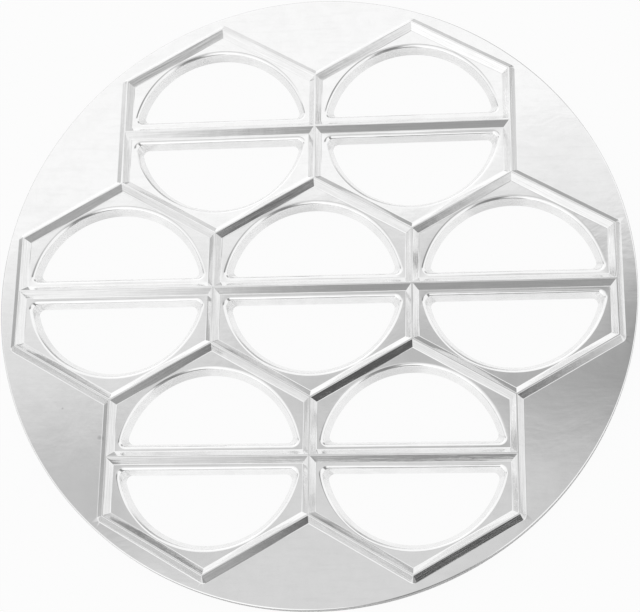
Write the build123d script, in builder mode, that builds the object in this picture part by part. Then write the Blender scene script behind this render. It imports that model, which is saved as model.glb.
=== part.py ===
from build123d import *
import math
import os

# Driving dimensions of the cast plate, in millimetres and degrees.
plate_diameter = 245.0
plate_thickness = 4.2
rim_bevel = 0.6
underside_bevel = 0.5

# Plain margin from the rim to the outermost corners of the ridge pattern.
rim_margin = 5.8

# Roof-shaped ridges that edge the cells and cross them.
ridge_height = 2.5
ridge_base_width = 5.0
ridge_crest_width = 0.6
ridge_foot_round = 0.4

# Half-moon holes: the lean of their walls, their rounded corners and their bevelled lips.
hole_draft = 26.5
bar_draft = 20.8
corner_round = 2.2
lip_bevel = 1.0

# Flat strips left between a ridge's foot and the nearest lip.
hole_strip = 0.1
bar_strip = 0.7

# Sizes that follow from the driving ones. Height 0 is the underside.
half_base = ridge_base_width / 2
half_crest = ridge_crest_width / 2
pattern_radius = plate_diameter / 2 - rim_margin
corner_reach = math.hypot(1.5, math.tan(math.radians(30)) / 2)
cell_pitch = pattern_radius / corner_reach
cell_side = cell_pitch / math.sqrt(3)
half_pitch = cell_pitch / 2
row_spacing = 1.5 * cell_side
sunk_depth = plate_thickness / 4


def lean(angle):
    """How far a wall leans over the thickness of the plate."""
    return plate_thickness * math.tan(math.radians(angle))


ridge_slope = math.atan2(ridge_height, half_base - half_crest)
foot_reach = ridge_foot_round * math.tan(ridge_slope / 2)
foot_edge = half_base + foot_reach
hole_mouth_radius = half_pitch - foot_edge - hole_strip - lip_bevel
hole_outlet_radius = hole_mouth_radius - lean(hole_draft)
bar_top_half = foot_edge + bar_strip + lip_bevel
print(f"pitch {cell_pitch:.2f}, hole {2 * hole_mouth_radius:.2f} to {2 * hole_outlet_radius:.2f}, "
      f"bar {2 * bar_top_half:.2f} to {2 * (bar_top_half + lean(bar_draft)):.2f}")

# Seven cells, each given by its steps across, in pitches, and its row.
cell_steps = [(-0.5, 1), (0.5, 1), (-1, 0), (0, 0), (1, 0), (-0.5, -1), (0.5, -1)]
cell_centres = [(across * cell_pitch, row * row_spacing) for across, row in cell_steps]


def hexagon_corner(centre, number):
    """Corner of a cell, the first one at 30 degrees and the rest counted anticlockwise."""
    angle = math.radians(30 + 60 * number)
    return (centre[0] + cell_side * math.cos(angle), centre[1] + cell_side * math.sin(angle))


def same_spot(first, second):
    return math.dist(first, second) < cell_side / 10


def middle(line):
    return ((line[0][0] + line[1][0]) / 2, (line[0][1] + line[1][1]) / 2)


def without_repeats(items, spot):
    """The items with each spot kept once."""
    kept = []
    for item in items:
        if not any(same_spot(spot(item), spot(other)) for other in kept):
            kept.append(item)
    return kept


def ridge_plane(line):
    """Plane across the start of a ridge: x to its side, y up, normal along it."""
    along = Vector(*line[1]) - Vector(*line[0])
    return Plane(origin=(*line[0], plate_thickness), x_dir=Vector(0, 0, 1).cross(along), z_dir=along)


# Neighbouring cells share an edge of their hexagons, and a ridge stands on it once.
cell_edges = without_repeats(
    [(hexagon_corner(c, n), hexagon_corner(c, n + 1)) for c in cell_centres for n in range(6)], middle
)
bar_lines = [((x - half_pitch, y), (x + half_pitch, y)) for x, y in cell_centres]

# A corner where only two ridges meet is an outward one, and its base is rounded.
ridge_ends = [end for edge in cell_edges for end in edge]
outward_corners = [
    corner
    for corner in without_repeats(ridge_ends, lambda end: end)
    if sum(same_spot(corner, end) for end in ridge_ends) == 2
]

# Half of the ridge's section, from its middle out to the foot, sunk a little into the plate.
with BuildLine(Plane.XY) as half_section:
    whole_slope = math.hypot(half_base - half_crest, ridge_height)
    slope = PolarLine((half_crest, ridge_height), whole_slope - foot_reach, -math.degrees(ridge_slope))
    TangentArc(slope @ 1, (foot_edge, 0), tangent=slope % 1)
    Polyline((foot_edge, 0), (foot_edge, -sunk_depth), (0, -sunk_depth), (0, ridge_height), slope @ 0)

with BuildPart() as corner_boss:
    with BuildSketch(Plane.XZ):
        add(half_section.line)
        make_face()
    revolve(axis=Axis.Z)

# One half-moon of a hole, as the solid that fills it: a cone cut along the bar's leaning side.
bar_side = Plane(
    origin=(0, bar_top_half, plate_thickness),
    x_dir=(1, 0, 0),
    z_dir=(0, math.cos(math.radians(bar_draft)), math.sin(math.radians(bar_draft))),
)
with BuildPart() as half_moon:
    Cone(hole_outlet_radius, hole_mouth_radius, plate_thickness, align=(Align.CENTER, Align.CENTER, Align.MIN))
    split(bisect_by=bar_side, keep=Keep.TOP)
    fillet(half_moon.edges().group_by(Axis.Z)[1], radius=corner_round)

with BuildPart() as mold_plate:
    with BuildSketch(Plane.XY):
        Circle(plate_diameter / 2)
    extrude(amount=plate_thickness)
    chamfer(mold_plate.edges().group_by(Axis.Z)[-1], length=rim_bevel)
    chamfer(mold_plate.edges().group_by(Axis.Z)[0], length=underside_bevel)

    with Locations(*[Location((x, y, 0), (0, 0, turn)) for x, y in cell_centres for turn in (0, 180)]):
        add(half_moon.part, mode=Mode.SUBTRACT)
    chamfer(mold_plate.edges(Select.LAST).group_by(Axis.Z)[-1], length=lip_bevel)

    with BuildSketch(*[ridge_plane(line) for line in cell_edges]):
        add(half_section.line)
        make_face()
        mirror(about=Plane.YZ)
    extrude(amount=cell_side)
    with Locations(*[(x, y, plate_thickness) for x, y in outward_corners]):
        add(corner_boss.part)
    with BuildSketch(*[ridge_plane(line) for line in bar_lines]):
        add(half_section.line)
        make_face()
        mirror(about=Plane.YZ)
    extrude(amount=cell_pitch)

mold_plate.part.label = "mold_plate"
os.makedirs("parts", exist_ok=True)
export_step(mold_plate.part, "parts/mold_plate.step")
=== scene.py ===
# %% [markdown]
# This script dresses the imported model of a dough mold. The real one is a round plate of cast
# aluminium with seven hexagonal cells. Thin ridges edge the cells and cut the dough, and in each
# cell a round hole is split by a bar into two half-moons, where the filled dough sinks in. The
# frame holds the plate at its real size. Everything here is modelled in metres in that same
# frame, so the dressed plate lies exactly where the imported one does.

# %% Load the frame
import math

import bmesh
import bpy
from mathutils import Euler, Matrix, Vector


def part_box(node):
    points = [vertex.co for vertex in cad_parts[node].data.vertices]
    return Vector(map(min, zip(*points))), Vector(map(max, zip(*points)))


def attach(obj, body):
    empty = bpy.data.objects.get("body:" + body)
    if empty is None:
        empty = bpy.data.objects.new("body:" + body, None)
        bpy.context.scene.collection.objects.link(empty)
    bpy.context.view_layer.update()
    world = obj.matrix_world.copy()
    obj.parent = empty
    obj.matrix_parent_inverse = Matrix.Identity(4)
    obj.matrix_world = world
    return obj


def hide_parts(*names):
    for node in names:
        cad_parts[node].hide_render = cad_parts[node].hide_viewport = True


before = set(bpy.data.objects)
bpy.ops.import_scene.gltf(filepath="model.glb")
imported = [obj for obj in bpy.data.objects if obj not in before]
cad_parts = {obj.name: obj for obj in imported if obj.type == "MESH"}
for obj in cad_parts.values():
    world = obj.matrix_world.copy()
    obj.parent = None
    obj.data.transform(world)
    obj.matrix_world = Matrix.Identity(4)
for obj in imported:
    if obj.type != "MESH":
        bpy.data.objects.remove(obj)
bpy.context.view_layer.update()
low_corner, high_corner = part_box("mold_plate")
print("plate box in mm", [round(1000 * v, 2) for v in (*low_corner, *high_corner)])

# %% [markdown]
# The plate's own sizes come first, because every later step is worked out from them. The outer
# ones are read from the frame, so they can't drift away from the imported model. The small ones,
# such as the section of a ridge, are written once in millimetres, as a pattern maker notes them.

# %% Sizes of the plate
MM = 0.001
plate_radius = (high_corner.x - low_corner.x) / 2
crest_z = high_corner.z
ridge_height = 2.5 * MM
top_z = crest_z - ridge_height
thickness = top_z - low_corner.z

rim_margin = 5.8 * MM
rim_round = 0.6 * MM
underside_round = 0.5 * MM

half_base = 2.5 * MM
half_crest = 0.3 * MM
crest_round = 0.12 * MM
foot_round = 0.4 * MM

hole_draft = math.radians(26.5)
bar_draft = math.radians(20.8)
corner_round = 2.2 * MM
lip_reach = 1.0 * MM
outlet_round = 0.2 * MM
hole_strip = 0.1 * MM
bar_strip = 0.7 * MM
print(f"plate {2000 * plate_radius:.1f} mm across and {1000 * thickness:.2f} mm thick")

# %% [markdown]
# The pattern of cells fills the plate up to a narrow margin. The outermost corners of the ridges
# come nearest to the rim, so they decide how wide a cell can be. A cell's width then gives its
# side, the distance between two rows, and where the half-moons start.

# %% Sizes that follow
corner_reach = math.hypot(1.5, math.tan(math.radians(30)) / 2)
pitch = (plate_radius - rim_margin) / corner_reach
side = pitch / math.sqrt(3)
row_spacing = 1.5 * side
slope_angle = math.atan2(ridge_height, half_base - half_crest)
foot_edge = half_base + foot_round * math.tan(slope_angle / 2)
lip_radius = pitch / 2 - foot_edge - hole_strip
lip_bar_half = foot_edge + bar_strip
print(f"cell pitch {1000 * pitch:.2f} mm, lip radius {1000 * lip_radius:.2f} mm")

# %% [markdown]
# A ridge is a little roof: a narrow flat crest, two slopes, and a soft foot where it runs into
# the plate. Half of that section is enough, from the middle of the crest outwards, because each
# cell lays its own half. It is a short list of points, each so far out and so far down. Its
# corners are arcs, since even a tenth of a millimetre of round catches a line of light.

# %% Section of a ridge
def arc_between(corner, angle_in, angle_out, reach, steps):
    """Points of the arc that rounds a corner, each as (out, down), angles measured downwards."""
    turn = angle_out - angle_in
    radius = reach / math.tan(abs(turn) / 2)
    side_sign = 1 if turn > 0 else -1
    start = Vector(corner) - reach * Vector((math.cos(angle_in), math.sin(angle_in)))
    centre = start + side_sign * radius * Vector((-math.sin(angle_in), math.cos(angle_in)))
    points = []
    for step in range(steps + 1):
        angle = angle_in + turn * step / steps
        points.append(centre - side_sign * radius * Vector((-math.sin(angle), math.cos(angle))))
    return points


crest_corner = (half_crest, 0)
foot_corner = (half_base, ridge_height)
ridge_section = [Vector((0, 0))]
ridge_section += arc_between(crest_corner, 0, slope_angle, crest_round, 3)
ridge_section += arc_between(foot_corner, slope_angle, 0, foot_edge - half_base, 4)
print("ridge section in mm", [(round(1000 * p.x, 2), round(1000 * p.y, 2)) for p in ridge_section])

# %% [markdown]
# A half cell starts as one flat face at crest height: half a hexagon, with the middle of the bar
# as its straight side. Insetting that face again and again, a step in and a step down each time,
# lays the ridge's section along all its sides at once and mitres the corners by itself. A curve
# swept along every edge would leave the crossings to be mended by hand. What is left of the face
# in the middle is the cell's floor. It is taken out, and only its edge is kept for later.

# %% One half cell's ridges
half_cell = bmesh.new()
half_hexagon = [(-0.5, 0), (-0.5, 0.5), (-0.25, 0.75), (0, 1), (0.25, 0.75), (0.5, 0.5), (0.5, 0)]
corner_verts = [half_cell.verts.new((x * pitch, y * side, crest_z)) for x, y in half_hexagon]
floor_face = half_cell.faces.new(corner_verts)
floor_face.normal_update()
if floor_face.normal.z < 0:
    floor_face.normal_flip()
for before, after in zip(ridge_section, ridge_section[1:]):
    step_out, step_down = after - before
    bmesh.ops.inset_individual(
        half_cell, faces=[floor_face], thickness=step_out, depth=-step_down, use_even_offset=True
    )
floor_loop = list(floor_face.edges)
print("floor height", round(1000 * floor_face.verts[0].co.z, 3), "mm")
bmesh.ops.delete(half_cell, geom=[floor_face], context="FACES_ONLY")

# %% [markdown]
# The walls of a half-moon lean inwards on their way down, the round one more than the one on the
# bar. Each starts in a lip, an arc that leaves the floor level and ends at the wall's own lean.
# One function tells how far the wall has come in at any depth, so lip and wall can't part. The
# heights where the shape needs a line of points are listed once: seven in the lip, and three at
# the foot of the wall, where its last edge is eased a little.

# %% Lean of the walls
def wall_reach(down, draft):
    """How far the wall stands inside the start of the lip, at some depth under the top."""
    turn = math.pi / 2 - draft
    radius = lip_reach / math.tan(turn / 2)
    if down < radius * (1 - math.cos(turn)):
        return math.sqrt(radius**2 - (radius - down) ** 2)
    return lip_reach + down * math.tan(draft)


LIP_STEPS = 6
lip_turn = math.pi / 2 - hole_draft
lip_depth = lip_reach / math.tan(lip_turn / 2) * (1 - math.cos(lip_turn))
lip_angles = [math.pi / 2 * step / LIP_STEPS for step in range(LIP_STEPS + 1)]
lip_downs = [lip_depth * (1 - math.cos(angle)) for angle in lip_angles]
wall_downs = lip_downs + [thickness - outlet_round, thickness - outlet_round / 4, thickness]
wall_eases = [0] * (len(lip_downs) + 1) + [outlet_round / 4, outlet_round]
print("wall heights in mm under the top", [round(1000 * down, 2) for down in wall_downs])

# %% [markdown]
# Each height of the wall is a closed outline of the same kind: a large arc, two small arcs and a
# straight side along the bar. Spinning a single point about three centres draws the arcs, and
# one edge cut into short ones closes them. Every outline gets the same number of points, so that
# the next step can join one to the next without a twist.

# %% Outline of a half-moon
ARC_STEPS = 84
CORNER_STEPS = 10
BAR_STEPS = 24


def half_moon_outline(bm, z, radius, bar_half, corner):
    """Closed chain of edges round a half-moon whose straight side lies along +X."""
    known = set(bm.edges)
    centre_y = bar_half + corner
    centre_x = math.sqrt((radius - corner) ** 2 - centre_y**2)
    rise = math.atan2(centre_y, centre_x)
    start = bm.verts.new((centre_x, bar_half, z))
    tip = start
    for x, y, angle, steps in (
        (centre_x, centre_y, math.pi / 2 + rise, CORNER_STEPS),
        (0, 0, math.pi - 2 * rise, ARC_STEPS),
        (-centre_x, centre_y, math.pi / 2 + rise, CORNER_STEPS),
    ):
        spun = bmesh.ops.spin(
            bm, geom=[tip], cent=(x, y, z), axis=(0, 0, 1), angle=angle, steps=steps
        )
        tip = spun["geom_last"][0]
    closing = bm.edges.new((tip, start))
    bmesh.ops.subdivide_edges(bm, edges=[closing], cuts=BAR_STEPS - 1)
    return [edge for edge in bm.edges if edge not in known]


outlines = []
for down, ease in zip(wall_downs, wall_eases):
    hole_in = wall_reach(down, hole_draft) - ease
    bar_out = wall_reach(down, bar_draft) - ease
    corner_now = corner_round + max(lip_reach - hole_in, 0)
    outlines.append(
        half_moon_outline(
            half_cell, top_z - down, lip_radius - hole_in, lip_bar_half + bar_out, corner_now
        )
    )
print(len(outlines), "outlines of", len(outlines[0]), "edges")

# %% [markdown]
# Bridging one outline to the next makes the wall in clean strips of four-sided faces. A boolean
# could cut the same hole, but it would leave ragged edges round the lip, where smooth shading
# needs even ones. The floor between the ridges and the lip is flat, so plain triangles fill it.

# %% Wall and floor of a half cell
for upper, lower in zip(outlines, outlines[1:]):
    bmesh.ops.bridge_loops(half_cell, edges=upper + lower)
bmesh.ops.triangle_fill(half_cell, edges=floor_loop + outlines[0], use_beauty=True)
print("half cell has", len(half_cell.faces), "faces")

# %% [markdown]
# Outside the pattern the ridge falls away to the flange. There it turns the outward corners in a
# smooth sweep, and in the six notches two slopes meet in a valley. A twelfth of the way round
# holds half of a corner and half of a notch, so it is all that has to be modelled. The ridge's
# section stands up as a chain of edges, and extruding the chain lays the first straight piece.

# %% Straight piece of the outer slope
outer_slope = bmesh.new()
chain_verts = [
    outer_slope.verts.new((1.5 * pitch + point.x, 0, crest_z - point.y)) for point in ridge_section
]
front = [outer_slope.edges.new(pair) for pair in zip(chain_verts, chain_verts[1:])]


def push_along(bm, edges, step):
    """Extrudes a chain of edges by one step and gives back the chain at the new end."""
    grown = bmesh.ops.extrude_edge_only(bm, edges=edges)["geom"]
    new_verts = [item for item in grown if isinstance(item, bmesh.types.BMVert)]
    bmesh.ops.translate(bm, verts=new_verts, vec=step)
    ends = set(new_verts)
    return [edge for edge in bm.edges if edge.verts[0] in ends and edge.verts[1] in ends]


front = push_along(outer_slope, front, (0, side / 2, 0))
print("straight piece has", len(outer_slope.faces), "faces")

# %% [markdown]
# Spinning the same chain about the corner's own axis carries the slope round it, and two more
# steps run on past the notch. A cut along the notch's middle line then trims both slopes where
# they meet, so the mirrored neighbour fits without a gap.

# %% Corner and notch of the outer slope
swept = bmesh.ops.spin(
    outer_slope,
    geom=front + list({vert for edge in front for vert in edge.verts}),
    cent=(1.5 * pitch, side / 2, 0),
    axis=(0, 0, 1),
    angle=math.radians(60),
    steps=10,
)
front = [item for item in swept["geom_last"] if isinstance(item, bmesh.types.BMEdge)]
along = Matrix.Rotation(math.radians(150), 3, "Z") @ Vector((side / 2, 0, 0))
for _ in range(2):
    front = push_along(outer_slope, front, along)
notch_normal = Vector((-math.sin(math.radians(30)), math.cos(math.radians(30)), 0))
bmesh.ops.bisect_plane(
    outer_slope,
    geom=outer_slope.verts[:] + outer_slope.edges[:] + outer_slope.faces[:],
    dist=1e-6,
    plane_co=(0, 0, 0),
    plane_no=notch_normal,
    clear_outer=True,
)
print("twelfth of the outer slope has", len(outer_slope.faces), "faces")

# %% [markdown]
# The casting has seven equal cells. Their centres stand on a triangular grid, so a few steps
# across and up give them all. The lower half of a cell is the upper one given half a turn, which
# makes fourteen places for one small mesh, and the slope outside goes round in six turns and
# their mirror images. Array modifiers could repeat the pieces too, but the flange has to be
# filled in between them, so everything is joined into one mesh.

# %% Join the cells
cell_steps = [(-0.5, 1), (0.5, 1), (-1, 0), (0, 0), (1, 0), (-0.5, -1), (0.5, -1)]
cell_centres = [Vector((across * pitch, row * row_spacing, 0)) for across, row in cell_steps]
half_cell_places = [
    Matrix.Translation(centre) @ Matrix.Rotation(math.radians(turn), 4, "Z")
    for centre in cell_centres
    for turn in (0, 180)
]


def add_copies(target, source, places):
    """Joins a copy of one small mesh into a larger one at each place."""
    scratch = bpy.data.meshes.new("scratch")
    for place in places:
        source.to_mesh(scratch)
        scratch.transform(place)
        if place.determinant() < 0:
            scratch.flip_normals()
        target.from_mesh(scratch)
    bpy.data.meshes.remove(scratch)


plate = bmesh.new()
add_copies(plate, half_cell, half_cell_places)
mirrored = Matrix.Scale(-1, 4, (0, 1, 0))
turns = [Matrix.Rotation(math.radians(60 * turn), 4, "Z") for turn in range(6)]
add_copies(plate, outer_slope, turns + [turn @ mirrored for turn in turns])
print(len(half_cell_places), "half cells and", 2 * len(turns), "outer slopes joined")

# %% [markdown]
# The rim is turned on a lathe, and a spin is the same thing in Blender: a profile goes once
# round the plate's axis. Its upper edge is rounded, because hands hold it there, and the lower
# one has its sharpness taken off. A full spin ends where it began, so use_merge closes it.

# %% Rim
RIM_STEPS = 240
upper_round = arc_between((plate_radius, 0), 0, math.pi / 2, rim_round, 7)
lower_round = arc_between((plate_radius, thickness), math.pi / 2, math.pi, underside_round, 5)
rim_verts = [plate.verts.new((point.x, 0, top_z - point.y)) for point in upper_round + lower_round]
rim_edges = [plate.edges.new(pair) for pair in zip(rim_verts, rim_verts[1:])]
bmesh.ops.spin(
    plate,
    geom=rim_verts + rim_edges,
    cent=(0, 0, 0),
    axis=(0, 0, 1),
    angle=2 * math.pi,
    steps=RIM_STEPS,
    use_merge=True,
)
print("rim profile has", len(rim_edges), "edges")

# %% [markdown]
# Two flat faces are still missing: the flange round the pattern, and the whole underside. Once
# the doubled points along the seams are merged, the edges that still lie open are exactly the
# borders of these two. They are told apart by height and filled. Last comes a count of gaps,
# which has to be none, and the volume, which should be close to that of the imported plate.

# %% Flange and underside
bmesh.ops.remove_doubles(plate, verts=plate.verts[:], dist=1e-6)
open_edges = [edge for edge in plate.edges if edge.is_boundary]
top_edges = [edge for edge in open_edges if min(v.co.z for v in edge.verts) > top_z - 1e-5]
low_edges = [edge for edge in open_edges if max(v.co.z for v in edge.verts) < low_corner.z + 1e-5]
print(len(open_edges), "open edges:", len(top_edges), "on top,", len(low_edges), "underneath")
bmesh.ops.triangle_fill(plate, edges=top_edges, use_beauty=True)
bmesh.ops.triangle_fill(plate, edges=low_edges, use_beauty=True)
bmesh.ops.recalc_face_normals(plate, faces=plate.faces[:])
gaps = [edge for edge in plate.edges if not edge.is_manifold]
print(len(plate.faces), "faces,", len(gaps), "gaps,", round(1e9 * plate.calc_volume()), "mm3")

# %% [markdown]
# Smooth shading makes the fine rounds read as rounds. Edges that turn by more than 30 degrees
# stay sharp. The long thin triangles beside a round would still bend its shading into the flat
# faces, so a Weighted Normal modifier lets the largest face at each point lead. That keeps the
# flange, the floors and the underside flat.

# %% Shading of the plate
SHARP_TURN = math.radians(30)
for face in plate.faces:
    face.smooth = True
for edge in plate.edges:
    edge.smooth = edge.calc_face_angle(0) < SHARP_TURN
plate_mesh = bpy.data.meshes.new("mold_casting")
plate.to_mesh(plate_mesh)
casting = bpy.data.objects.new("mold_casting", plate_mesh)
bpy.context.collection.objects.link(casting)
shading = casting.modifiers.new("flat_faces_lead", "WEIGHTED_NORMAL")
shading.keep_sharp = True
shading.weight = 100
for mesh_part in (half_cell, outer_slope, plate):
    mesh_part.free()
print(casting.name, "has", len(plate_mesh.vertices), "points")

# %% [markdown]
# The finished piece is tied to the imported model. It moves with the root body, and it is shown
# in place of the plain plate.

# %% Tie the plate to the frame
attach(casting, "root")
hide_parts("mold_plate")
print("tied to root in place of mold_plate")

# %% [markdown]
# Cast aluminium is a bright metal, and its look comes far more from how evenly and how sharply
# it mirrors than from colour. So the shader is a plain metal, and everything below steers its
# roughness, its grey or its bumps. The patterns are noise in object space. They need no
# unwrapping, they stay on the metal from every side, and they don't blur in a close view.

# %% Bare aluminium
aluminium = bpy.data.materials.new("cast_aluminium")
aluminium.use_nodes = True
plate_mesh.materials.append(aluminium)
nodes, links = aluminium.node_tree.nodes, aluminium.node_tree.links
metal = nodes["Principled BSDF"]
metal.inputs["Metallic"].default_value = 1.0
coords = nodes.new("ShaderNodeTexCoord").outputs["Object"]
print(aluminium.name, "reads", coords.name, "coordinates")

# %% [markdown]
# Five noises stand for what happens to such a plate. Blotches come from uneven cooling, and the
# mottle is the finer patchiness of the skin. Wipe lines are what a cloth leaves across the flat
# faces, and grain is the finest texture. Slope lines are tool marks along the ridges. Height is
# what changes across a slope, so noise squeezed in Z draws them along all ridges at once,
# whichever way they run.

# %% Patterns in the metal
def add_noise(scale, stretch=(1, 1, 1), turn=0.0, detail=2.0, roughness=0.5, warp=0.0):
    """A noise pattern in object space; scale is in waves per metre."""
    mapping = nodes.new("ShaderNodeMapping")
    mapping.inputs["Scale"].default_value = [scale * part for part in stretch]
    mapping.inputs["Rotation"].default_value = (0, 0, math.radians(turn))
    noise = nodes.new("ShaderNodeTexNoise")
    noise.inputs["Scale"].default_value = 1.0
    noise.inputs["Detail"].default_value = detail
    noise.inputs["Roughness"].default_value = roughness
    noise.inputs["Distortion"].default_value = warp
    links.new(coords, mapping.inputs["Vector"])
    links.new(mapping.outputs["Vector"], noise.inputs["Vector"])
    return noise.outputs["Fac"]


blotches = add_noise(28, detail=4, roughness=0.6, warp=0.8)
mottle = add_noise(150, detail=5, roughness=0.7)
wipe_lines = add_noise(60, stretch=(1, 9, 1), turn=35, detail=4, roughness=0.6)
slope_lines = add_noise(70, stretch=(1, 1, 45), detail=3)
grain = add_noise(1800, detail=2)
print(sum(node.type == "TEX_NOISE" for node in nodes), "noise patterns")

# %% [markdown]
# Some finishes belong to one part of the plate only, and height alone tells those parts apart.
# What stands above the top is a ridge. What lies below the lips, such as the hole walls, the
# lower rim and the underside, is never wiped and keeps the dull skin of the casting. A Map Range
# node turns a height into such a mask, with a soft border between the two heights it is given.

# %% Ridges and unwiped parts
def remap(value, low, high, to_low, to_high):
    """Stretches the part of a pattern between low and high onto a new range."""
    node = nodes.new("ShaderNodeMapRange")
    for name, number in (
        ("From Min", low), ("From Max", high), ("To Min", to_low), ("To Max", to_high)
    ):
        node.inputs[name].default_value = number
    links.new(value, node.inputs["Value"])
    return node.outputs["Result"]


height = nodes.new("ShaderNodeSeparateXYZ")
links.new(coords, height.inputs["Vector"])
above = height.outputs["Z"]
on_ridges = remap(above, top_z + 0.1 * MM, top_z + 0.6 * MM, 0, 1)
unwiped = remap(above, top_z - lip_depth, top_z - 1.5 * lip_depth, 0, 1)
print(f"ridges stand above {1000 * top_z:.2f} mm")

# %% [markdown]
# Roughness decides how sharply the metal mirrors. On the wiped faces it is low, a little higher
# in the blotches, and each kind of line and the mottle add their own small share. The unwiped
# parts are clearly duller, and unevenly so.

# %% Roughness
def combine(first, second, operation="ADD"):
    """Adds two patterns, or multiplies them."""
    node = nodes.new("ShaderNodeMath")
    node.operation = operation
    links.new(first, node.inputs[0])
    links.new(second, node.inputs[1])
    return node.outputs["Value"]


roughness = combine(
    remap(blotches, 0.35, 0.7, 0.03, 0.06), remap(wipe_lines, 0.45, 0.75, 0.0, 0.03)
)
roughness = combine(roughness, remap(slope_lines, 0.45, 0.75, 0.0, 0.05))
roughness = combine(roughness, remap(mottle, 0.45, 0.7, 0.0, 0.03))
cast_skin = remap(mottle, 0.3, 0.7, 0.08, 0.2)
roughness = combine(roughness, combine(cast_skin, unwiped, "MULTIPLY"))
links.new(roughness, metal.inputs["Roughness"])
print("roughness runs from 0.03 on a clean flat to 0.37 at most in a hole")

# %% [markdown]
# Aluminium tarnishes to a slightly darker grey, in the mottle and under the wipe lines. Along the
# tool marks of the ridges the grey is darkened as well, and that is painted reflection: it stands
# in for the uneven mirror image on the slopes. These patterns add up to one measure of tarnish and
# painted shade. A color ramp turns it into the metal's grey, from bright at 0 to nearly black at
# 1.

# %% Tarnish and painted shade
# The darker streaks along the ridges are painted reflection of the uneven mirror image on the
# slopes.
tarnish_and_painted_shade = combine(remap(slope_lines, 0.35, 0.7, 0.0, 0.09), on_ridges, "MULTIPLY")
tarnish_and_painted_shade = combine(tarnish_and_painted_shade, remap(mottle, 0.4, 0.7, 0.0, 0.04))
tarnish_and_painted_shade = combine(tarnish_and_painted_shade, remap(wipe_lines, 0.5, 0.75, 0.0, 0.03))
print("tarnish takes the grey at most 0.16 of the way to dark")

# %% [markdown]
# A plate that has been used also has a few small dents on it. Only their shade is painted, the
# dents themselves aren't modelled: each is a short range of distance from one point on the top,
# which is dark in the middle and fades out at its edge. They are given in millimetres: across,
# up, and how far they reach.

# %% Painted shade of dents
marks = [(-94.9, -46.7, 0.5), (-79.8, -58.2, 1.1), (106.2, 11.8, 0.9), (27.2, 16.7, 0.6)]
for across, up, size in marks:
    reach = nodes.new("ShaderNodeVectorMath")
    reach.operation = "DISTANCE"
    reach.inputs[1].default_value = (across * MM, up * MM, top_z)
    links.new(coords, reach.inputs[0])
    # Each spot is painted shade of a small dent.
    painted_dent_shade = remap(reach.outputs["Value"], 0.3 * size * MM, size * MM, 0.25, 0)
    tarnish_and_painted_shade = combine(tarnish_and_painted_shade, painted_dent_shade)
shade = nodes.new("ShaderNodeValToRGB")
shade.color_ramp.elements[0].color = (0.95, 0.95, 0.95, 1)
shade.color_ramp.elements[1].color = (0.05, 0.05, 0.05, 1)
links.new(tarnish_and_painted_shade, shade.inputs["Fac"])
links.new(shade.outputs["Color"], metal.inputs["Base Color"])
print(len(marks), "painted_dent_shades")

# %% [markdown]
# A nearly perfect mirror shows the least wave in its surface, so the bumps are far below what a
# finger feels: a tenth of a millimetre for the broad blotches and only some thousandths for the
# grain. Bump nodes take each other's result as their normal, which stacks them. Displacing the
# mesh would need millions of faces for the same effect.

# %% Shallow bumps
def add_bump(pattern, distance, under=None):
    """Raises a pattern by some distance, on top of the bumps that are there already."""
    bump = nodes.new("ShaderNodeBump")
    bump.inputs["Distance"].default_value = distance
    bump.inputs["Strength"].default_value = 0.5
    links.new(pattern, bump.inputs["Height"])
    if under:
        links.new(under, bump.inputs["Normal"])
    return bump.outputs["Normal"]


surface = add_bump(blotches, 0.12 * MM)
surface = add_bump(slope_lines, 0.06 * MM, surface)
surface = add_bump(wipe_lines, 0.01 * MM, surface)
surface = add_bump(grain, 0.003 * MM, surface)
links.new(surface, metal.inputs["Normal"])
print("the metal has", len(nodes), "nodes")

# %% [markdown]
# The plate lies on a white table. A grid of a single face is enough for it. It sits a twentieth
# of a millimetre below the plate, because two faces at exactly the same height would flicker
# through each other.

# %% Table
table_mesh = bpy.data.meshes.new("table")
table_bm = bmesh.new()
below_plate = Matrix.Translation((0, 0, -0.05 * MM))
bmesh.ops.create_grid(table_bm, x_segments=1, y_segments=1, size=1.5, matrix=below_plate)
table_bm.to_mesh(table_mesh)
table_bm.free()
table = bpy.data.objects.new("table", table_mesh)
bpy.context.collection.objects.link(table)
print("table", [round(v, 2) for v in table.dimensions], "m")

# %% [markdown]
# The table is covered with white paper. Plain paper would need so much light to look white that
# the metal would burn out, so it glows by itself. Light Path says what kind of ray has arrived.
# The camera sees mostly the glow, and so does the metal where it mirrors the pad right under the
# plate. A small share of matt paper stays in what they see, and it takes the plate's soft
# shadow. All other light meets matt paper alone.

# %% White paper
paper = bpy.data.materials.new("white_paper")
paper.use_nodes = True
table_mesh.materials.append(paper)
nodes, links = paper.node_tree.nodes, paper.node_tree.links
nodes["Principled BSDF"].inputs["Base Color"].default_value = (0.65, 0.65, 0.65, 1)
nodes["Principled BSDF"].inputs["Roughness"].default_value = 0.9
glow = nodes.new("ShaderNodeEmission")
glow.inputs["Strength"].default_value = 1.0
light_path = nodes.new("ShaderNodeLightPath")
spread = nodes.new("ShaderNodeVectorMath")
spread.operation = "LENGTH"
links.new(nodes.new("ShaderNodeTexCoord").outputs["Object"], spread.inputs[0])
pad = remap(spread.outputs["Value"], 112 * MM, 122 * MM, 1.0, 0.0)
seen = combine(light_path.outputs["Is Glossy Ray"], pad, "MULTIPLY")
seen = combine(light_path.outputs["Is Camera Ray"], seen)
seen = combine(light_path.outputs["Is Transmission Ray"], seen)
share = remap(seen, 0, 1, 0, 0.94)
mixer = nodes.new("ShaderNodeMixShader")
links.new(share, mixer.inputs["Fac"])
links.new(nodes["Principled BSDF"].outputs["BSDF"], mixer.inputs[1])
links.new(glow.outputs["Emission"], mixer.inputs[2])
print("paper glows for the camera and for the metal above it")

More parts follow.
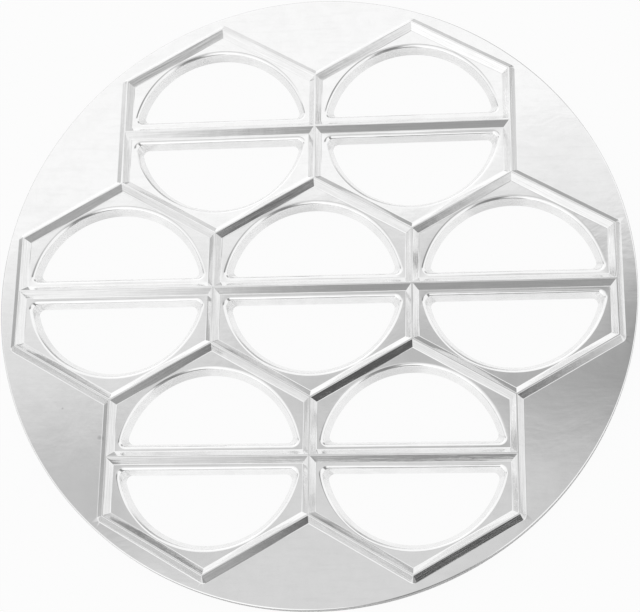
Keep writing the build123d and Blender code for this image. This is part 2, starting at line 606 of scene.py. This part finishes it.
# %% [markdown]
# Smooth paper turns shiny when it is seen nearly edge-on, and the slopes and hole walls mirror
# it at just such angles. Layer Weight's Facing grows from 0 straight on to 1 edge-on, so it sets
# how much of a glossy shader is mixed in. Is Glossy Ray keeps that to what the metal mirrors.

# %% Sheen of the paper
gloss = nodes.new("ShaderNodeBsdfGlossy")
gloss.inputs["Roughness"].default_value = 0.12
slant = nodes.new("ShaderNodeLayerWeight")
slant.inputs["Blend"].default_value = 0.5
gloss_share = remap(slant.outputs["Facing"], 0.4, 1.0, 0.15, 0.65)
gloss_share = combine(light_path.outputs["Is Glossy Ray"], gloss_share, "MULTIPLY")
gloss_mixer = nodes.new("ShaderNodeMixShader")
links.new(gloss_share, gloss_mixer.inputs["Fac"])
links.new(mixer.outputs["Shader"], gloss_mixer.inputs[1])
links.new(gloss.outputs["BSDF"], gloss_mixer.inputs[2])
links.new(gloss_mixer.outputs["Shader"], nodes["Material Output"].inputs["Surface"])
print("the paper has", len(nodes), "nodes")

# %% [markdown]
# Shiny things are often lit inside a white tent, which shines from all sides. Here the tent is
# the world itself, so its light needs no lamps and has no hard spots. It gets darker towards the
# horizon, where a real tent meets the table.

# %% Tent of light
studio = bpy.data.worlds.new("studio")
bpy.context.scene.world = studio
studio.use_nodes = True
nodes, links = studio.node_tree.nodes, studio.node_tree.links
direction = nodes.new("ShaderNodeTexCoord").outputs["Generated"]
rise = nodes.new("ShaderNodeSeparateXYZ")
links.new(direction, rise.inputs["Vector"])
tent = remap(rise.outputs["Z"], 0.0, 0.2, 0.68, 1.0)
print("tent has 0.68 of its full light at the horizon")

# %% [markdown]
# In an even tent bright metal looks flat, so cards hang around it, and the ridges pick them up
# as darker and lighter bands. Each card here is a soft ellipse in the sky: where it hangs, how
# far it reaches sideways and upwards, how soft its edge is, and how bright it is beside the
# tent. Most are grey, and the three above 1 are white boards that throw extra light. They were
# set one by one, by comparing a slope or a patch of the flange with the real plate.

# %% Where the cards hang
cards = [
    ((0.545, -0.83, 0.10), 0.20, 0.46, 0.75, 0.11),
    ((0.14, -0.99, 0.25), 0.40, 0.38, 0.40, 0.37),
    ((0.276, -0.689, 0.669), 0.27, 0.47, 0.50, 0.25),
    ((0.12, -0.34, 1.00), 0.24, 0.22, 0.60, 0.25),
    ((0.05, 0.10, 1.00), 0.80, 0.31, 0.30, 0.77),
    ((0.10, 0.14, 1.00), 0.30, 0.295, 0.015, 0.91),
    ((0.32, 0.31, 1.00), 0.60, 0.10, 0.90, 0.42),
    ((0.38, 0.18, 1.00), 0.42, 0.20, 0.80, 0.47),
    ((-0.28, 0.19, 1.00), 0.13, 0.09, 0.90, 0.70),
    ((0.38, 0.86, 0.36), 0.36, 0.34, 0.80, 0.38),
    ((-0.90, 0.26, 0.36), 0.24, 0.28, 0.80, 0.45),
    ((0.90, 0.43, 0.08), 0.16, 0.20, 0.80, 0.82),
    ((-0.70, -0.66, 0.45), 0.35, 0.25, 0.80, 1.25),
    ((-0.40, 0.75, 0.45), 0.45, 0.35, 0.80, 1.20),
    ((-0.25, -0.78, 0.62), 0.35, 0.33, 0.80, 1.25),
]
print(len(cards), "cards,", sum(brightness > 1 for *_, brightness in cards), "of them white")

# %% [markdown]
# A spherical gradient is 1 in its middle and falls to 0 at a distance of 1. A Mapping node of
# the kind Texture moves, turns and stretches it like an object, which makes a ball into a flat
# ellipse at any place in the sky. Each card multiplies the light that is there, so two that
# overlap darken each other, as gauze does.

# %% Hang the cards
for place, sideways, upwards, softness, brightness in cards:
    middle = Vector(place).normalized()
    up_hint = Vector((0, 1, 0)) if middle.z > 0.7 else Vector((0, 0, 1))
    side_axis = up_hint.cross(middle).normalized()
    card_axes = Matrix((side_axis, middle.cross(side_axis), middle)).transposed()
    mapping = nodes.new("ShaderNodeMapping")
    mapping.vector_type = "TEXTURE"
    mapping.inputs["Location"].default_value = middle
    mapping.inputs["Rotation"].default_value = card_axes.to_euler()
    mapping.inputs["Scale"].default_value = (sideways, upwards, 1)
    ellipse = nodes.new("ShaderNodeTexGradient")
    ellipse.gradient_type = "SPHERICAL"
    links.new(direction, mapping.inputs["Vector"])
    links.new(mapping.outputs["Vector"], ellipse.inputs["Vector"])
    card = remap(ellipse.outputs["Fac"], 0, softness, 1, brightness)
    card.node.interpolation_type = "SMOOTHSTEP"
    tent = combine(tent, card, "MULTIPLY")
print("the studio has", len(nodes), "nodes")

# %% [markdown]
# The camera itself doesn't look at the cards. Where it sees past the table it finds plain white,
# and only the metal and the paper see the tent.

# %% White background
sky = nodes["Background"]
sky.inputs["Color"].default_value = (1, 1, 1, 1)
links.new(tent, sky.inputs["Strength"])
plain_white = nodes.new("ShaderNodeBackground")
plain_white.inputs["Color"].default_value = (1, 1, 1, 1)
sky_mixer = nodes.new("ShaderNodeMixShader")
links.new(nodes.new("ShaderNodeLightPath").outputs["Is Camera Ray"], sky_mixer.inputs["Fac"])
links.new(sky.outputs["Background"], sky_mixer.inputs[1])
links.new(plain_white.outputs["Background"], sky_mixer.inputs[2])
links.new(sky_mixer.outputs["Shader"], nodes["World Output"].inputs["Surface"])
print("the camera sees a white background")

# %% [markdown]
# The camera looks down on the plate from its lower right, from a little over half a metre. A
# longer lens from further away would show the same size with less perspective. The near side of
# the real plate looks a little larger than the far one, so the camera stands this close.

# %% Camera
camera_data = bpy.data.cameras.new("camera")
camera_data.sensor_width = 36
camera_data.lens = 86.61
camera = bpy.data.objects.new("camera", camera_data)
camera.location = (0.06832, -0.18732, 0.5583)
camera.rotation_euler = Euler([math.radians(a) for a in (17.92, 6.453, 0.834)])
bpy.context.collection.objects.link(camera)
bpy.context.scene.camera = camera
bpy.context.scene.view_settings.view_transform = "Standard"
print("camera", round(camera.location.length, 3), "m from the middle of the plate")
